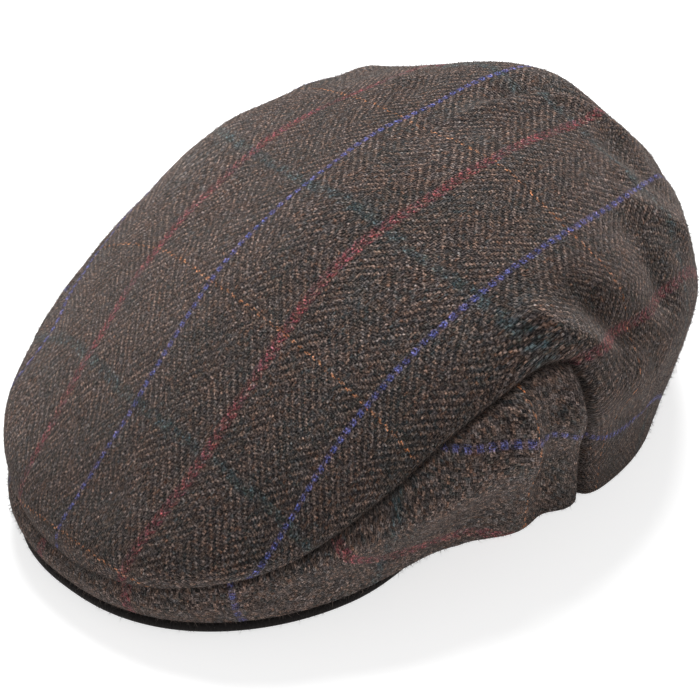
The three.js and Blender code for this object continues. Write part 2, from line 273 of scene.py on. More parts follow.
# The cloth turns in deeper right at the seam: from the front, at the angle, by how much
SEAM_CORES = ((0, 0.5), (12, 0.7), (25, 1.5), (50, 1.9), (76, 2.0), (85, 3.2), (90, 3.4))
SEAM_CORE_WIDTH = 0.95
BACK_SEAM_CORE_WIDTH = 1.7
BACK_SEAM_ANGLES = (72, 84)  # between these the core widens towards the back seam
SHADOW_WIDTH = 1.3           # how wide the painted shade is at a seam, in core widths
SHADED_HEM_ANGLES = (58, 80)   # between these the painted shade along the hem grows towards the back
SHADED_HEM_HEIGHT = 8
CALM_SEAM_WIDTH = 3          # the cloth lies even this near a seam


def seam_at(points, angle):
    """Distance to the nearest panel seam, and the depth and width of its core there."""
    mirrored = np.concatenate([np.abs(points[..., :1]), points[..., 1:]], -1)
    side = np.abs((angle + 180) % 360 - 180)
    return (near_line(mirrored, seam_line), np.interp(side, *np.array(SEAM_CORES, float).T),
            np.interp(side, BACK_SEAM_ANGLES, (SEAM_CORE_WIDTH, BACK_SEAM_CORE_WIDTH)))


def painted_shade_shares(angle, level):
    """Shares from 0 to 1 of painted shade: at a seam, by the seam's depth and nearness, and at the hem
    behind the temples. The cloth's colour is darkened there to stand for the shade that falls in these
    creases."""
    points = smooth_point(angle, level)
    to_seam, depth, width = seam_at(points, angle)
    # Painted shade beside a seam, deeper where the seam's core is deeper
    seam_shade = np.sqrt(depth / SEAM_CORES[-1][1]) * bell(to_seam, width * SHADOW_WIDTH)
    side = np.abs((angle + 180) % 360 - 180)
    over_hem = points[..., 2] - hem_lift(angle)
    # Painted shade along the hem behind the temples, where the cloth curves under
    hem_shade = np.interp(side, SHADED_HEM_ANGLES, (0, 1)) * bell(over_hem, SHADED_HEM_HEIGHT)
    return np.stack([seam_shade, hem_shade], -1).reshape(-1, 2)


def cloth_rise(points, angle, level):
    """How far the outer face stands off the smooth one: seams drawn in, folds and unevenness."""
    to_seam, depth, width = seam_at(points, angle)
    rise = -SEAM_CREASE * bell(to_seam, SEAM_CREASE_WIDTH) - depth * bell(to_seam, width)
    for line, width, height in fold_lines:
        rise += height * CROWN_HEIGHT * bell(near_line(points, line), width * CROWN_HEIGHT)
    calm = 1 - bell(to_seam, CALM_SEAM_WIDTH)
    above_hem = np.clip((points[..., 2] - hem_lift(angle)) / EVEN_HEM_HEIGHT, 0, 1)
    return rise + UNEVENNESS * unevenness(points) * calm * above_hem


def hem_roll(points, angle):
    """How far both faces of the cloth draw together where its edge is turned at the hem."""
    left = np.clip(EDGE_ROLL - np.maximum(points[..., 2] - hem_lift(angle), 0), 0, EDGE_ROLL)
    return EDGE_ROLL - np.sqrt(np.maximum(EDGE_ROLL ** 2 - left ** 2, 0))


def cloth_faces(angle, level):
    """The cloth's outer and inner points."""
    smooth = smooth_point(angle, level)
    normal = directions(angle, level)[2]
    rise = cloth_rise(smooth, angle, level)
    roll = hem_roll(smooth, angle)
    outer = smooth + normal * (rise - roll)[..., None]
    inner = smooth + normal * (rise - CLOTH_WALL + roll)[..., None]
    outer[..., 2] = np.maximum(outer[..., 2], 0)
    inner[..., 2] = np.maximum(inner[..., 2], 0)
    return outer, inner


# ---------------------------------------------------------------------------------------------
# The cloth's threads over the form
# ---------------------------------------------------------------------------------------------
grid_angles = np.arange(-180, 181, 2.0)
grid_levels = np.linspace(0, APEX_LEVEL, 201)
grid_points = smooth_point(grid_angles[:, None], grid_levels[None, :])
grid_steps = np.linalg.norm(np.diff(grid_points, axis=1), axis=2)
from_apex = np.zeros(grid_points.shape[:2])
from_apex[:, :-1] = grid_steps[:, ::-1].cumsum(1)[:, ::-1]


def from_grid(values, angle, level):
    """Values of the grid above, read between its points."""
    a = np.clip((angle + 180) / 2, 0, len(grid_angles) - 1.000001)
    b = np.clip(level * 200 / APEX_LEVEL, 0, len(grid_levels) - 1.000001)
    i, j = a.astype(int), b.astype(int)
    u, v = a - i, b - j
    return ((values[i, j] * (1 - u) + values[i + 1, j] * u) * (1 - v)
            + (values[i, j + 1] * (1 - u) + values[i + 1, j + 1] * u) * v)


# Where the top panel was eased in sewing: at (across, along) in millimetres from the apex, how far
# round it, and how far its threads moved across and along
EASES = (
    ((-52, -186), 36, (-15, 0)),
    ((74, -152), 34, (-6, -2)),
    ((-36, -147), 45, (-10, 0)),
    ((40, -140), 48, (-4, 0)),
    ((-78, -128), 22, (-11, 0)),
    ((-50, -132), 40, (0, -6)),
    ((-72, -110), 34, (-4, -8)),
    ((12, -48), 40, (6, 0)),
    ((-40, -66), 26, (0, -4)),
    ((-45, -32), 28, (0, -6)),
    ((12, -30), 26, (0, -4)),
    ((60, -30), 24, (0, -5)),
    ((-90, -10), 34, (8, -22)),
    ((100, -8), 26, (0, -18)),
    ((-14, 5), 22, (3, 0)),
    ((35, 18), 36, (0, -4)),
    ((-58, 36), 34, (-17, 0)),
    ((-10, 45), 20, (3, 0)),
    ((20, 62), 28, (-5, 7)),
    ((104, 66), 24, (6, 0)),
    ((68, 105), 42, (16, -4)),
    ((165, 25), 35, (-12, 0)),
)


def crown_threads(angle, level):
    """The top panel's thread counts: it is spread out evenly from the apex, then eased."""
    length = from_grid(from_apex, angle, level)
    across = length * np.sin(np.radians(angle))
    along = -length * np.cos(np.radians(angle))
    moved_across, moved_along = across.copy(), along.copy()
    for (x, y), spread, (dx, dy) in EASES:
        near = bell(np.hypot(across - x, along - y), spread)
        moved_across += dx * near
        moved_along += dy * near
    return ((moved_across - RED_LINE_ACROSS) / THREAD_ACROSS,
            (moved_along - ORANGE_LINE_ALONG) / THREAD_ALONG)


# A side panel's thread places at its hem, and their change for a millimetre up from it. The front
# of the panel is pulled round, so that its lengthwise lines stand upright there.
PANEL_THREADS = (
    # from the front, across, across for height, along, along for height
    (0, -31.0, 0.00, 30, -0.95),
    (29, 0.0, 0.05, 28, -0.95),
    (66, 39.5, 0.00, 25, -0.90),
    (102, 62.0, 0.42, 38, -0.50),
    (125, 68.0, 0.62, 59, -0.20),
    (149, 71.0, 0.72, 75, -0.05),
    (165, 75.0, 0.71, 85, 0.03),
    (184, 82.0, 0.70, 100, 0.08),
    (212, 97.0, 0.70, 125, 0.10),
    (240, 114.0, 0.70, 150, 0.10),
)
RIGHT_PANEL_OFFSET = (17.0, 12.0)  # the right panel is cut from another place of the check

panel_angles = np.arange(0, 96, 1.0)
panel_length = np.concatenate([[0], np.linalg.norm(
    np.diff(smooth_point(panel_angles, np.full(len(panel_angles), 1.0)), axis=0), axis=1).cumsum()])
panel_table = np.array(PANEL_THREADS, float)


def panel_course(column):
    """One column of the table above at each whole angle, smoothed."""
    course = np.interp(panel_length, panel_table[:, 0], panel_table[:, column])
    ends = np.pad(course, 5, mode="reflect", reflect_type="odd")
    return np.convolve(ends, np.ones(11) / 11, mode="valid")


panel_courses = [panel_course(column) for column in range(1, 5)]


def panel_threads(angle, level):
    """A side panel's thread counts."""
    side = np.abs(angle)
    height = from_grid(from_apex, side, 0 * level) - from_grid(from_apex, side, level)
    across, across_rise, along, along_rise = (
        np.interp(side, panel_angles, course) for course in panel_courses)
    across, along = across + across_rise * height, along + along_rise * height
    right = angle < 0
    return ((across + right * RIGHT_PANEL_OFFSET[0]) / THREAD_ACROSS,
            (along + right * RIGHT_PANEL_OFFSET[1]) / THREAD_ALONG)


# ---------------------------------------------------------------------------------------------
# Meshes
# ---------------------------------------------------------------------------------------------
def grid_faces(index, flip=False, wrapped=False):
    """Quads over a grid of point numbers, columns first."""
    if wrapped:
        index = np.concatenate([index, index[:1]])
    a, b, c, d = index[:-1, :-1], index[1:, :-1], index[1:, 1:], index[:-1, 1:]
    quads = np.stack([a, b, c, d], -1).reshape(-1, 4)
    return quads[:, ::-1] if flip else quads


def make_piece(name, points, quads, smooth=True, **maps):
    """A mesh object in metres from points in millimetres. Quads with a doubled corner become
    triangles, and each map, such as its thread counts, becomes a UV map."""
    faces = []
    for quad in quads.tolist():
        corners = [p for i, p in enumerate(quad) if p != quad[i - 1]]
        if len(corners) > 2:
            faces.append(corners)
    mesh = bpy.data.meshes.new(name)
    mesh.from_pydata((points * METRES).tolist(), [], faces)
    mesh.validate()
    mesh.update()
    loops = np.zeros(len(mesh.loops), np.int32)
    mesh.loops.foreach_get("vertex_index", loops)
    for title, values in maps.items():
        layer = mesh.uv_layers.new(name=title)
        layer.data.foreach_set("uv", values[loops].astype(np.float32).ravel())
    mesh.polygons.foreach_set("use_smooth", [smooth] * len(mesh.polygons))
    piece = bpy.data.objects.new(name, mesh)
    bpy.context.scene.collection.objects.link(piece)
    return piece


def edge_shares(length, both=False):
    """Shares from 0 to 1 whose steps grow from the edge step to the cloth step."""
    steps = []
    step = EDGE_STEP
    while sum(steps) * (2 if both else 1) < length:
        steps.append(step)
        step = min(step * STEP_GROWTH, CLOTH_STEP)
    if both:
        steps = steps + steps[::-1]
    shares = np.concatenate([[0], np.cumsum(steps)])
    return shares / shares[-1]


def crown_piece():
    """The top panel, with the number of its outer points. Its edge runs along both seams and the
    hem of the back, and it closes at the apex."""
    start = seam[-1, 0]
    hem = np.stack([np.linspace(start, 180, HEM_STEPS + 1)[1:], np.zeros(HEM_STEPS)], 1)
    half = np.concatenate([seam, hem])
    on_edge = smooth_point(half[:, 0], half[:, 1])
    along = np.concatenate([[0], np.linalg.norm(np.diff(on_edge, axis=0), axis=1).cumsum()])
    apex_angle = 180 * along / along[-1]
    angle = np.concatenate([half[:, 0], -half[-2:0:-1, 0]])
    level = np.concatenate([half[:, 1], half[-2:0:-1, 1]])
    apex_angle = np.concatenate([apex_angle, -apex_angle[-2:0:-1]])

    def spread(shares):
        return (angle[:, None] + (apex_angle - angle)[:, None] * shares,
                level[:, None] + (APEX_LEVEL - level)[:, None] * shares)

    outer_angle, outer_level = spread(edge_shares(CROWN_DEPTH))
    inner_angle, inner_level = spread(np.linspace(0, 1, INNER_ROWS) ** INNER_ROW_GROWTH)
    outer = cloth_faces(outer_angle, outer_level)[0]
    inner = cloth_faces(inner_angle, inner_level)[1]
    columns, rows = outer_angle.shape
    index = np.arange(columns * rows).reshape(columns, rows)
    inner_index = np.arange(columns * INNER_ROWS).reshape(columns, INNER_ROWS) + columns * rows
    index[:, -1] = index[0, -1]
    inner_index[:, -1] = inner_index[0, -1]
    rim = np.stack([inner_index[:, 0], index[:, 0]], 1)
    quads = np.concatenate([
        grid_faces(index, wrapped=True),
        grid_faces(inner_index, flip=True, wrapped=True),
        grid_faces(rim, wrapped=True),
    ])
    threads = np.concatenate([
        np.stack(crown_threads(a, b), -1).reshape(-1, 2)
        for a, b in ((outer_angle, outer_level), (inner_angle, inner_level))])
    # Shares of painted shade at the seams and the hem, carried to the material as a UV map
    edges = np.concatenate([painted_shade_shares(outer_angle, outer_level),
                            painted_shade_shares(inner_angle, inner_level)])
    points = np.concatenate([outer.reshape(-1, 3), inner.reshape(-1, 3)])
    piece = make_piece("crown_top_cloth", points, quads, Threads=threads, TurnedIn=edges)
    return piece, columns * rows


def panel_piece(name, side):
    """A side panel, with the number of its outer points. It is spread between its hem, its front
    edge, its back edge and its top seam."""
    columns = SEAM_STEPS + 1
    shares = edge_shares(PANEL_DEPTH, both=True)
    rows = len(shares)
    u = np.linspace(0, 1, columns)[:, None]
    v = shares[None, :]
    back = spline(BACK_SEAM, 1 - shares)
    low_angle = (seam_top[:, 0] * seam[-1, 0] / seam_top[-1, 0])[:, None]
    corner = seam_top[-1]
    angle = (low_angle * (1 - v) + seam_top[:, :1] * v + back[:, 0][None] * u
             - corner[0] * u * v - seam[-1, 0] * u * (1 - v))
    level = (seam_top[:, 1:] * v + seam_top[0, 1] * v * (1 - u) + back[:, 1][None] * u
             - (seam_top[0, 1] * (1 - u) + corner[1] * u) * v)
    outer, inner = cloth_faces(angle * side, level)
    across, along = panel_threads(angle * side, level)
    index = np.arange(columns * rows).reshape(columns, rows)
    other = index + columns * rows
    ring = np.concatenate([index[:, 0], index[-1, 1:], index[-2::-1, -1], index[0, -2:0:-1]])
    inner_ring = ring + columns * rows
    rim = np.stack([inner_ring, ring], 1)
    quads = np.concatenate([
        grid_faces(index),
        grid_faces(other, flip=True),
        grid_faces(rim, wrapped=True),
    ])
    if side < 0:
        quads = quads[:, ::-1]
    points = np.concatenate([outer.reshape(-1, 3), inner.reshape(-1, 3)])
    threads = np.tile(np.stack([across.ravel(), along.ravel()], 1), (2, 1))
    # Shares of painted shade at the seams and the hem, carried to the material as a UV map
    edges = np.tile(painted_shade_shares(angle * side, level), (2, 1))
    return make_piece(name, points, quads, Threads=threads, TurnedIn=edges), columns * rows


PEAK_STEPS = 200
PEAK_RIM_BACK = 0.7  # how far the dressed rim stays behind the CAD one
PEAK_RIM_ARCH = 0.8  # the dressed rim's height over the floor in the middle
PEAK_TAPER_START = 0.78  # share of the half peak from which its ends grow thin
PEAK_TAPER_BACK = 2.2    # how far the rim draws back at the ends
PEAK_END_THICKNESS = 0.4


def peak_piece():
    """The peak: a cloth-covered crescent with a rounded rim."""
    turned = np.linspace(-1, 1, PEAK_STEPS + 1)
    angle = PEAK_END_ANGLE * turned
    fade = 1 - turned ** 2
    rim = ring_at(0, angle)[0] + PEAK_OVERHANG * np.sqrt(fade) - PEAK_RIM_BACK
    opening_front = ring_at(0, np.array(0.0))[0] + PEAK_OVERHANG - PEAK_DEPTH
    opening_side = ring_at(0, np.array(90.0))[0] - CLOTH_WALL
    s, c = np.sin(np.radians(angle)) / opening_side, np.cos(np.radians(angle)) / opening_front
    depth = np.maximum(rim - 1 / np.hypot(s, c), PEAK_TIP_DEPTH - PEAK_RIM_BACK)
    top, bottom = hem_lift(angle) - SEAM_GAP, PEAK_RIM_ARCH * fade
    ends = np.clip((np.abs(turned) - PEAK_TAPER_START) / (1 - PEAK_TAPER_START), 0, 1) ** 2
    bottom = bottom + (top - bottom - PEAK_END_THICKNESS) * ends
    rim = rim - PEAK_TAPER_BACK * ends
    middle, half = (top + bottom) / 2, (top - bottom) / 2
    profile = []  # (reach, height) round the section, from the inner edge over the top
    for share in np.linspace(0, 1, 12):
        profile.append((rim - depth + half + (depth - 2 * half) * share, top))
    for share in np.linspace(0, 1, 9)[1:]:
        around = math.pi * share
        profile.append((rim - half + half * math.sin(around), middle + half * math.cos(around)))
    for share in np.linspace(0, 1, 12)[1:]:
        profile.append((rim - half - (depth - 2 * half) * share, bottom))
    for share in np.linspace(0, 1, 9)[1:-1]:
        around = math.pi * share
        profile.append((rim - depth + half - half * math.sin(around),
                        middle - half * math.cos(around)))
    columns = [np.stack([r * np.sin(np.radians(angle)), AXIS_Y - r * np.cos(np.radians(angle)), z],
                        -1) for r, z in profile]
    points = np.stack(columns, 0)
    steps, around_count = points.shape[1], points.shape[0]
    index = np.arange(around_count * steps).reshape(around_count, steps)
    quads = grid_faces(index, wrapped=True)
    flat = points.reshape(-1, 3)
    ends = [index[:, 0], index[:, -1][::-1]]
    quads = quads.tolist()
    centres = []
    for end in ends:
        centre = len(flat) + len(centres)
        centres.append(flat[end].mean(0))
        for a, b in zip(end, np.roll(end, -1)):
            quads.append([int(a), int(b), centre, centre])
    flat = np.concatenate([flat, np.array(centres)])
    threads = flat[:, :2] / THREAD_ACROSS
    return make_piece("peak_cloth", flat, np.array(quads), Threads=threads), len(flat)


crown, crown_outer = crown_piece()
panel_left, panel_outer = panel_piece("side_panel_left_cloth", 1)
panel_right, panel_outer = panel_piece("side_panel_right_cloth", -1)
peak, peak_outer = peak_piece()


# ---------------------------------------------------------------------------------------------
# Loose fibres
# ---------------------------------------------------------------------------------------------
FIBRE_ROOT = 0.25        # how deep a fibre starts in the cloth
FIBRE_CLEARANCE = 0.05   # fibres nearer the floor than this are left out
FIBRE_POINTS = 7


def fibres_piece(name, roots, normals, lengths, thickness, lean, threads):
    """Closed, bent, three-sided fibres standing on the cloth, leaning along it."""
    count = len(roots)
    ways = rng.normal(size=(count, 3))
    ways -= normals * (ways * normals).sum(1, keepdims=True)
    ways /= np.linalg.norm(ways, axis=1, keepdims=True)
    tilt = rng.uniform(lean[0], lean[1], count)[:, None]
    first = normals * np.cos(tilt) + ways * np.sin(tilt)
    bend = rng.normal(scale=0.55, size=(count, 3))
    second = first + bend
    second /= np.linalg.norm(second, axis=1, keepdims=True)
    second += normals * 0.15
    length = lengths[:, None]
    base = roots - normals * FIBRE_ROOT
    knee = base + first * length * 0.5
    tip = knee + second * length * 0.5
    side = np.cross(first, normals + ways * 0.3)
    side /= np.linalg.norm(side, axis=1, keepdims=True)
    other = np.cross(first, side)
    corners = []
    for place, share in ((base, 1.0), (knee, 0.75)):
        for turn_share in range(3):
            around = 2 * math.pi * turn_share / 3
            corners.append(place + (side * math.cos(around) + other * math.sin(around))
                           * thickness * share)
    corners.append(tip)
    points = np.stack(corners, 1)
    clear = points[..., 2].min(1) > FIBRE_CLEARANCE
    points, threads, count = points[clear].reshape(-1, 3), threads[clear], int(clear.sum())
    pattern = [(2, 1, 0, 0)]
    for k in range(3):
        n = (k + 1) % 3
        pattern += [(k, n, 3 + n, 3 + k), (3 + k, 3 + n, 6, 6)]
    starts = np.arange(count)[:, None, None] * FIBRE_POINTS
    quads = (starts + np.array(pattern)[None]).reshape(-1, 4)
    threads = np.repeat(threads, FIBRE_POINTS, axis=0)
    return make_piece(name, points, quads, smooth=False, Threads=threads)


def scatter(piece, outer, count):
    """Seeded places on a piece's outer faces, by area: points, normals and thread counts."""
    mesh = piece.data
    places = np.zeros(len(mesh.vertices) * 3)
    mesh.vertices.foreach_get("co", places)
    places = places.reshape(-1, 3) / METRES
    mesh.calc_loop_triangles()
    triangles = np.zeros(len(mesh.loop_triangles) * 3, np.int32)
    mesh.loop_triangles.foreach_get("vertices", triangles)
    loops = np.zeros(len(mesh.loop_triangles) * 3, np.int32)
    mesh.loop_triangles.foreach_get("loops", loops)
    threads = np.zeros(len(mesh.loops) * 2)
    mesh.uv_layers["Threads"].data.foreach_get("uv", threads)
    threads = threads.reshape(-1, 2)
    triangles, loops = triangles.reshape(-1, 3), loops.reshape(-1, 3)
    chosen = (triangles < outer).all(1)
    triangles, loops = triangles[chosen], loops[chosen]
    a, b, c = (places[triangles[:, k]] for k in range(3))
    cross = np.cross(b - a, c - a)
    area = np.linalg.norm(cross, axis=1)
    picked = rng.choice(len(area), count, p=area / area.sum())
    u, v = rng.random(count), rng.random(count)
    over = u + v > 1
    u[over], v[over] = 1 - u[over], 1 - v[over]
    weights = np.stack([1 - u - v, u, v], 1)
    roots = (places[triangles[picked]] * weights[..., None]).sum(1)
    normals = cross[picked] / area[picked, None]
    return roots, normals, (threads[loops[picked]] * weights[..., None]).sum(1)


SHORTEST_FIBRE = 0.8
FIBRE_THICKNESS = 0.075
FIBRE_LEAN = (0.45, 1.4)  # radians from upright


def fuzz(piece, outer, name, count, longest):
    """Loose fibres over a piece's outer faces, most of them short."""
    roots, normals, threads = scatter(piece, outer, count)
    lengths = SHORTEST_FIBRE + (longest - SHORTEST_FIBRE) * rng.random(count) ** 1.6
    return fibres_piece(name, roots, normals, lengths, FIBRE_THICKNESS, FIBRE_LEAN, threads)


crown_fuzz = fuzz(crown, crown_outer, "crown_top_fuzz", 18500, 3.2)
crown_down = fuzz(crown, crown_outer, "crown_top_down", 18500, 2.2)
left_fuzz = fuzz(panel_left, panel_outer, "side_panel_left_fuzz", 9000, 3.0)
right_fuzz = fuzz(panel_right, panel_outer, "side_panel_right_fuzz", 9000, 3.0)
peak_fuzz = fuzz(peak, peak_outer, "peak_fuzz", 6000, 2.4)


# ---------------------------------------------------------------------------------------------
# Materials
# ---------------------------------------------------------------------------------------------
class Field:
    """A number over the surface, written as a formula of math nodes."""

    def __init__(self, tree, socket):
        self.tree, self.socket = tree, socket

    def math(self, operation, *others, clamp=False):
        node = self.tree.nodes.new("ShaderNodeMath")
        node.operation = operation
        node.use_clamp = clamp
        for slot, value in zip(node.inputs, (self, *others)):
            if isinstance(value, Field):
                self.tree.links.new(value.socket, slot)
            else:
                slot.default_value = value
        return Field(self.tree, node.outputs[0])

    def __add__(self, other):
        return self.math("ADD", other)

    def __sub__(self, other):
        return self.math("SUBTRACT", other)

    def __mul__(self, other):
        return self.math("MULTIPLY", other)

    def __truediv__(self, other):
        return self.math("DIVIDE", other)

    def __mod__(self, other):
        return self.math("FLOORED_MODULO", other)

    def __lt__(self, other):
        return self.math("LESS_THAN", other)

    def __gt__(self, other):
        return self.math("GREATER_THAN", other)

    def floor(self):
        return self.math("FLOOR")

    def fraction(self):
        return self.math("FRACT")

    def size(self):
        return self.math("ABSOLUTE")

    def arch(self):
        """Up from 0 at 0 to 1 at a half and back to 0 at 1."""
        return (self * math.pi).math("SINE")

    def power(self, exponent):
        return self.math("MAXIMUM", 0.0).math("POWER", exponent)

    def between(self, low, high):
        """0 at low, 1 at high, and clamped."""
        return ((self - low) / (high - low)).math("ADD", 0.0, clamp=True)


class Cloth:
    """A material's nodes, with short calls for the kinds used here."""

    def __init__(self, name):
        self.material = bpy.data.materials.new(name)
        self.material.use_nodes = True
        self.tree = self.material.node_tree
        self.tree.nodes.clear()

    def node(self, kind, **inputs):
        made = self.tree.nodes.new(kind)
        for name, value in inputs.items():
            slot = made.inputs[name.replace("_", " ")]
            if isinstance(value, Field):
                self.tree.links.new(value.socket, slot)
            elif isinstance(value, bpy.types.NodeSocket):
                self.tree.links.new(value, slot)
            else:
                slot.default_value = value
        return made

    def field(self, socket):
        return Field(self.tree, socket)

    def uv(self, title="Threads"):
        """The two numbers of one of the piece's UV maps."""
        made = self.tree.nodes.new("ShaderNodeUVMap")
        made.uv_map = title
        parts = self.node("ShaderNodeSeparateXYZ", Vector=made.outputs[0])
        return self.field(parts.outputs["X"]), self.field(parts.outputs["Y"])

    def vector(self, x, y, z=0.0):
        return self.node("ShaderNodeCombineXYZ", X=x, Y=y, Z=z).outputs[0]

    def noise(self, vector, scale, detail=2.0, roughness=0.5):
        made = self.node("ShaderNodeTexNoise", Vector=vector, Scale=scale, Detail=detail,
                         Roughness=roughness)
        return self.field(made.outputs["Fac"])

    def chance(self, vector):
        """A random number from 0 to 1 for each whole-numbered place."""
        made = self.node("ShaderNodeTexWhiteNoise", Vector=vector)
        return self.field(made.outputs["Value"])

    def blend(self, factor, first, second, mode="MIX"):
        made = self.tree.nodes.new("ShaderNodeMix")
        made.data_type = "RGBA"
        made.blend_type = mode
        sockets = [s for s in made.inputs if s.enabled]
        for slot, value in zip(sockets, (factor, first, second)):
            if isinstance(value, Field):
                self.tree.links.new(value.socket, slot)
            elif isinstance(value, bpy.types.NodeSocket):
                self.tree.links.new(value, slot)
            else:
                slot.default_value = (*value, 1.0) if hasattr(value, "__len__") else value
        return [s for s in made.outputs if s.enabled][0]

    def finish(self, colour, height, roughness, sheen, sheen_tint, depth):
        bump = self.node("ShaderNodeBump", Height=height)
        bump.inputs["Strength"].default_value = 1.0
        bump.inputs["Distance"].default_value = depth * METRES
        shader = self.node("ShaderNodeBsdfPrincipled", Base_Color=colour,
                           Normal=bump.outputs["Normal"])
        shader.inputs["Roughness"].default_value = roughness
        shader.inputs["Specular IOR Level"].default_value = 0.15
        shader.inputs["Sheen Weight"].default_value = sheen
        shader.inputs["Sheen Roughness"].default_value = 0.32
        shader.inputs["Sheen Tint"].default_value = (*sheen_tint, 1.0)
        out = self.node("ShaderNodeOutputMaterial", Surface=shader.outputs[0])
        out.is_active_output = True
        return self.material


DARK_YARN = (0.0360, 0.0275, 0.0275)
LIGHT_YARN = (0.1520, 0.1080, 0.0910)
RED_YARN = (0.260, 0.050, 0.066)
BLUE_YARN = (0.100, 0.112, 0.350)
ORANGE_YARN = (0.420, 0.170, 0.075)
TEAL_YARN = (0.028, 0.082, 0.094)
RUST_FLECK = (0.220, 0.110, 0.070)
GREEN_FLECK = (0.026, 0.048, 0.050)
PALE_FLECK = (0.240, 0.205, 0.180)


def tweed(name, clear):
    """Herringbone tweed with a windowpane check: a 2 and 2 twill whose way turns in columns. It is
    clear from 0, where the nap hides the weave, to 1."""
    cloth = Cloth(name)
    across, along = cloth.uv()
    place = cloth.vector(across, along)
    sway = cloth.noise(place, 0.11, 2.0) - 0.5
    drift = cloth.noise(place, 0.13, 2.0) - 0.5
    across_here = across + sway * 1.5
    along_here = along + drift * 1.8
    # The weave
    parity = (across_here / COLUMN_THREADS).floor() % 2.0
    folded = across_here.math("PINGPONG", float(COLUMN_THREADS))
    column, row = folded.floor(), along_here.floor()
    turned = parity * 2.0
    phase = (row - column + turned) % 4.0
    warp_up = phase < 1.5
    on_warp = ((along_here - column + turned) % 4.0) / 2.0
    on_weft = (((folded - row - turned) % 4.0) - 1.0) / 2.0
    warp_height = on_warp.arch().power(0.5) * folded.fraction().arch().power(0.6)
    weft_height = on_weft.arch().power(0.5) * along_here.fraction().arch().power(0.6)
    weft_up = (warp_up * -1.0) + 1.0
    height = warp_height * warp_up + weft_height * weft_up
    # Yarn colours
    warp_cell = cloth.vector(across_here.floor(), (along_here / 2.0).floor(), 3.0)
    weft_cell = cloth.vector((across_here / 2.0).floor(), row, 7.0)
    warp_luck, weft_luck = cloth.chance(warp_cell), cloth.chance(weft_cell)
    luck = warp_luck * warp_up + weft_luck * weft_up
    crossing = cloth.vector(across_here.floor(), along_here.floor(), 11.0)
    speck, tint = cloth.chance(crossing), cloth.chance(cloth.vector(
        (across_here * 0.7).floor(), (along_here * 0.7).floor(), 13.0))
    grain = cloth.noise(place, 1.9 - 0.9 * clear, 1.0).between(0.30, 0.70)
    fibres = cloth.noise(cloth.vector(across, along, 40.0), 1.9, 2.0, 0.6).between(0.28, 0.72)
    patches = cloth.noise(place, 0.045, 3.0)
    paleness = weft_up * clear + speck * (1.0 - clear)
    yarn = cloth.blend(paleness, DARK_YARN, LIGHT_YARN)
    for low, high, fleck in ((0.00, 0.05, RUST_FLECK), (0.06, 0.15, GREEN_FLECK),
                             (0.15, 0.17, PALE_FLECK)):
        inside = (luck > low) * (luck < high) * 0.45
        yarn = cloth.blend(inside, yarn, fleck)
    yarn = cloth.blend(patches.between(0.45, 0.70) * 0.35, yarn, GREEN_FLECK)
    # The check
    line_across = (across_here / LINES_ACROSS + 0.5).floor()
    off_across = (across_here - line_across * float(LINES_ACROSS)).size()
    odd_across = line_across % 2.0
    even_across = (odd_across * -1.0) + 1.0
    worn = grain.between(0.10, 0.55) * 0.85 + 0.15
    faded = cloth.noise(place, 0.07, 1.0).between(0.35, 0.62) * 0.55 + 0.45
    chevron = ((along_here - off_across) % 4.0) < 2.0
    bead = (along_here % 4.0) < 2.3
    red = off_across.between(3.0, 1.8) * even_across * (chevron * 0.55 + 0.24) * worn * faded
    blue = off_across.between(1.7, 0.8) * odd_across * (bead * 0.70 + 0.18) * worn * (clear * 0.6 + 0.5)
    line_along = (along_here / LINES_ALONG + 0.5).floor()
    off_along = (along_here - line_along * float(LINES_ALONG)).size()
    odd_along = line_along % 2.0
    even_along = (odd_along * -1.0) + 1.0
    broken = cloth.noise(place, 0.22, 1.0).between(0.40, 0.55)
    orange = (off_along < 0.6) * even_along * weft_up * worn * (broken * 0.75 + 0.2)
    teal = off_along.between(3.0, 1.4) * odd_along * (weft_up * 0.30 + 0.18) * (broken + 0.3)
    yarn = cloth.blend(teal, yarn, TEAL_YARN)
    yarn = cloth.blend(orange, yarn, ORANGE_YARN)
    yarn = cloth.blend(red, yarn, RED_YARN)
    yarn = cloth.blend(blue, yarn, BLUE_YARN)
    # Light and dark along the yarn, down into the gaps and over the fuzz, with painted shade along the
    # seams and along the hem behind the temples
    seam_shade, hem_shade = cloth.uv("TurnedIn")
    shade = ((height * (0.66 * clear) + (1.0 - 0.66 * clear)) * (luck * 0.4 + 0.80)
             * (speck * 0.8 + 0.60) * (grain * 1.4 + 0.30) * (fibres * 1.1 + 0.45))
    # Painted shade: the colour is darkened along the seams and along the hem behind the temples
    shade = shade.power(1.4) * 1.12 * (seam_shade * -0.75 + 1.0) * (hem_shade * -0.40 + 1.0)
    warm = (tint - 0.5) * 0.3
    tone = cloth.vector(shade * (warm + 1.0), shade, shade * (warm * -0.8 + 1.0))
    colour = cloth.blend(1.0, yarn, tone, "MULTIPLY")
    relief = height * 0.45 + grain * 0.9 + fibres * 0.4 + speck * 0.4
    return cloth.finish(colour, relief, 0.95, 0.20, (0.95, 0.78, 0.70), 0.7)


def plain_wool(name, dark, light, sheen):
    """Felted wool with no pattern: yarn and fibre noise in two tones."""
    cloth = Cloth(name)
    across, along = cloth.uv()
    place = cloth.vector(across, along)
    fibres = cloth.noise(place, 1.6, 4.0, 0.7)
    patches = cloth.noise(place, 0.2, 2.0)
    ribs = (along + across).fraction().arch()
    mixed = fibres.between(0.35, 0.75) * 0.7 + patches * 0.3
    colour = cloth.blend(mixed, dark, light)
    return cloth.finish(colour, fibres + ribs * 0.25, 0.97, sheen, (0.8, 0.76, 0.74), 0.4)


def loose_wool(name, dark, light):
    """Loose fibres, each of its own tone between two."""
    cloth = Cloth(name)
    across, along = cloth.uv()
    luck = cloth.chance(cloth.vector((across * 3.0).floor(), (along * 3.0).floor()))
    colour = cloth.blend(luck * luck, dark, light)
    return cloth.finish(colour, luck, 0.9, 0.1, (0.9, 0.8, 0.75), 0.01)


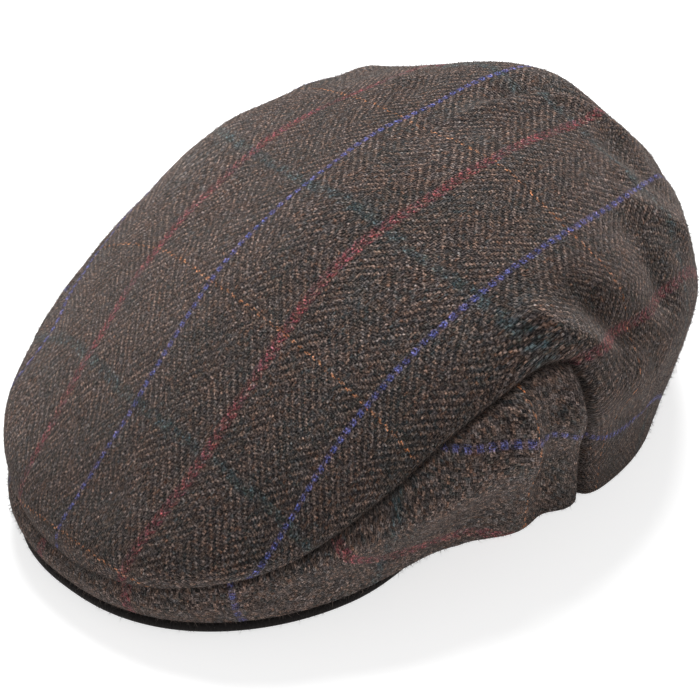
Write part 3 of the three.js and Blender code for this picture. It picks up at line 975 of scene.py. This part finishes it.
tweed_cloth = tweed("tweed_cloth", 0.74)
brushed_tweed = tweed("brushed_tweed", 0.30)
# The peak's near-black tones are painted shade: its cloth is darkened to stand for the shade under the
# crown's front edge
peak_painted_shade_wool = plain_wool("peak_painted_shade_wool", (0.006, 0.005, 0.005), (0.030, 0.026, 0.025), 0.15)
tweed_fibres = loose_wool("tweed_fibres", (0.035, 0.028, 0.027), (0.210, 0.165, 0.145))
# The peak's fibres are darkened as painted shade, like the peak's cloth
peak_painted_shade_fibres = loose_wool("peak_painted_shade_fibres", (0.008, 0.007, 0.007), (0.070, 0.062, 0.058))
crown.data.materials.append(tweed_cloth)
for piece in (panel_left, panel_right):
    piece.data.materials.append(brushed_tweed)
for piece in (crown_fuzz, crown_down, left_fuzz, right_fuzz):
    piece.data.materials.append(tweed_fibres)
peak.data.materials.append(peak_painted_shade_wool)
peak_fuzz.data.materials.append(peak_painted_shade_fibres)


# ---------------------------------------------------------------------------------------------
# Pieces on the frame
# ---------------------------------------------------------------------------------------------
for piece, node in ((crown, "crown_top"), (panel_left, "side_panel_left"),
                    (panel_right, "side_panel_right"), (peak, "peak")):
    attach(piece, "root")
    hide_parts(node)
    "peak_cloth" if node == "peak" else "tweed"
for piece in (crown_fuzz, crown_down, left_fuzz, right_fuzz, peak_fuzz):
    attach(piece, "root")


# ---------------------------------------------------------------------------------------------
# Floor, light and camera
# ---------------------------------------------------------------------------------------------
FLOOR_REACH = 4.0
FLOOR_HEIGHT = -0.0003  # just under the hem, so that the two don't share a plane


def floor_piece():
    mesh = bpy.data.meshes.new("floor")
    mesh.from_pydata([(x * FLOOR_REACH, y * FLOOR_REACH, FLOOR_HEIGHT)
                      for x, y in ((-1, -1), (1, -1), (1, 1), (-1, 1))], [], [(0, 1, 2, 3)])
    material = bpy.data.materials.new("pale_floor")
    material.use_nodes = True
    shader = material.node_tree.nodes["Principled BSDF"]
    shader.inputs["Base Color"].default_value = (0.55, 0.55, 0.55, 1)
    shader.inputs["Emission Color"].default_value = (1, 1, 1, 1)
    shader.inputs["Emission Strength"].default_value = 0.70
    shader.inputs["Roughness"].default_value = 0.9
    shader.inputs["Specular IOR Level"].default_value = 0.1
    mesh.materials.append(material)
    floor = bpy.data.objects.new("floor", mesh)
    bpy.context.scene.collection.objects.link(floor)


LIT_POINT = (0, 0, 0.05)


def area_light(name, place, size, power):
    light = bpy.data.lights.new(name, "AREA")
    light.shape = "DISK"
    light.size = size
    light.energy = power
    lamp = bpy.data.objects.new(name, light)
    lamp.location = place
    lamp.rotation_euler = (Vector(LIT_POINT) - Vector(place)).to_track_quat("-Z", "Y").to_euler()
    bpy.context.scene.collection.objects.link(lamp)


CAMERA_AZIMUTH = math.radians(46.0)
CAMERA_ELEVATION = math.radians(35.3)
CAMERA_ROLL = math.radians(0.85)
CAMERA_DISTANCE = 1.1
CAMERA_TARGET = Vector((0, 0.0075, 0.045))
CAMERA_LENS = 156.1
PHOTO_WIDTH = 700
PHOTO_SHIFT = (-22.4, -39.1)  # pixels of the photo


def photo_camera():
    sin_a, cos_a = math.sin(CAMERA_AZIMUTH), math.cos(CAMERA_AZIMUTH)
    sin_e, cos_e = math.sin(CAMERA_ELEVATION), math.cos(CAMERA_ELEVATION)
    right = Vector((cos_a, sin_a, 0))
    up = Vector((-sin_a * sin_e, cos_a * sin_e, cos_e))
    back = Vector((sin_a * cos_e, -cos_a * cos_e, sin_e))
    turned = Matrix.Rotation(-CAMERA_ROLL, 3, back)
    right, up = turned @ right, turned @ up
    lens = bpy.data.cameras.new("camera")
    lens.sensor_width = 36.0
    lens.lens = CAMERA_LENS
    lens.shift_x, lens.shift_y = (shift / PHOTO_WIDTH for shift in PHOTO_SHIFT)
    camera = bpy.data.objects.new("camera", lens)
    place = CAMERA_TARGET + back * CAMERA_DISTANCE
    camera.matrix_world = Matrix((
        (right.x, up.x, back.x, place.x),
        (right.y, up.y, back.y, place.y),
        (right.z, up.z, back.z, place.z),
        (0, 0, 0, 1),
    ))
    bpy.context.scene.collection.objects.link(camera)
    bpy.context.scene.camera = camera


floor_piece()
area_light("key_light", place=(-0.75, 0.75, 1.35), size=0.9, power=56)
area_light("fill_light", place=(1.3, -1.3, 0.9), size=1.4, power=2)
world = bpy.data.worlds.new("studio")
world.use_nodes = True
world.node_tree.nodes["Background"].inputs["Color"].default_value = (1, 1, 1, 1)
world.node_tree.nodes["Background"].inputs["Strength"].default_value = 0.42
bpy.context.scene.world = world
bpy.context.scene.view_settings.view_transform = "Standard"
photo_camera()
